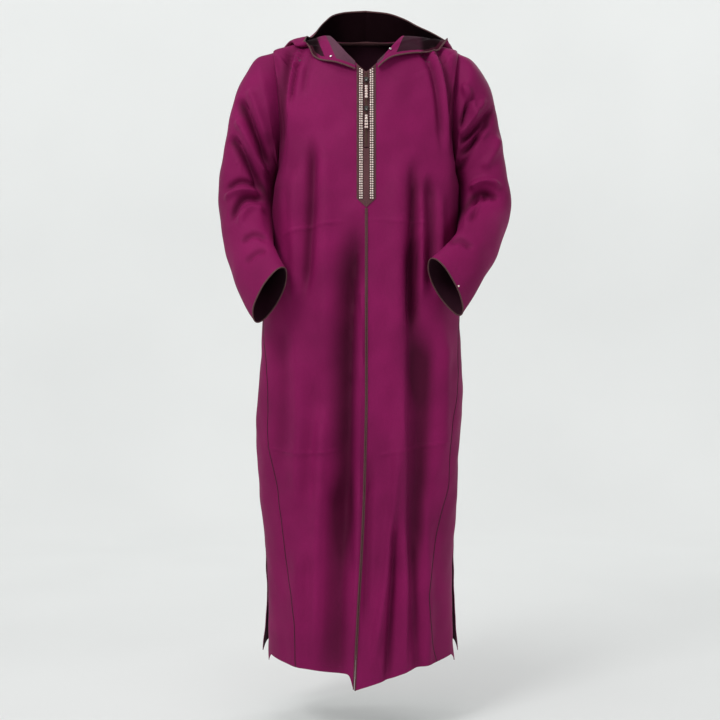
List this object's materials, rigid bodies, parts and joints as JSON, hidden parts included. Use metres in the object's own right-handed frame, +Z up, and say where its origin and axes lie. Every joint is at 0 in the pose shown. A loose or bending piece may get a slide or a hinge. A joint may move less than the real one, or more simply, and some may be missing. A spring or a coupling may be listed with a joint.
{
  "type": "djellaba robe",
  "caption": "Long hooded djellaba robe as worn, with wide sleeves, zipped placket, bead strips, braided front, side gores and side slits, hanging hollow.",
  "frame": {"origin": "Middle of the shoulder line, level with the wearer's shoulders, inside the neckline: where the wearer holds the robe up.", "axes": "+Z up, -Y the front of the robe, +X the wearer's left (the right of a front view)."},
  "size_m": [0.6724, 0.3951, 1.5567],
  "materials": {
    "cloth": "smooth plum twill with a soft sheen",
    "trim": "dull brown braid and binding",
    "beadwork": "cream beads, semi-gloss",
    "zip_metal": "dark antiqued zip teeth",
    "bright_metal": "polished pressed metal"
  },
  "bodies": {
    "robe": {"front_right_skirt": "cloth", "front_right_body": "cloth", "front_right_yoke": "cloth", "front_left_skirt": "cloth", "front_left_body": "cloth", "front_left_yoke": "cloth", "back_skirt": "cloth", "back_body": "cloth", "back_yoke": "cloth", "front_gore_right": "cloth", "front_gore_left": "cloth", "back_gore_right": "cloth", "back_gore_left": "cloth", "sleeve_right_upper": "cloth", "sleeve_right_elbow": "cloth", "sleeve_right_lower": "cloth", "sleeve_left_upper": "cloth", "sleeve_left_elbow": "cloth", "sleeve_left_lower": "cloth", "hood_right": "cloth", "hood_left": "cloth", "hood_binding_right": "trim", "hood_binding_left": "trim", "cuff_binding_right": "trim", "cuff_binding_left": "trim", "placket": "trim", "zip_tape": "trim", "front_cord_right": "trim", "front_cord_left": "trim", "bead_strip_right": "beadwork", "bead_strip_left": "beadwork", "cuff_bead": "beadwork", "zip_chain": "zip_metal", "zip_slider_upper": "bright_metal", "zip_slider_lower": "bright_metal", "hood_snap_right": "bright_metal", "hood_snap_left": "bright_metal"},
    "pull_upper": {"pull_upper": "beadwork"},
    "pull_lower": {"pull_lower": "beadwork"}
  },
  "joints": [
    {"name": "pull_upper_hinge", "type": "hinge", "parent": "robe", "child": "pull_upper", "pos_m": [0, -0.13539, -0.11193], "axis": [-1, 0, 0], "range_deg": [0, 160]},
    {"name": "pull_lower_hinge", "type": "hinge", "parent": "robe", "child": "pull_lower", "pos_m": [0, -0.1426, -0.17751], "axis": [-1, 0, 0], "range_deg": [0, 160]}
  ]
}
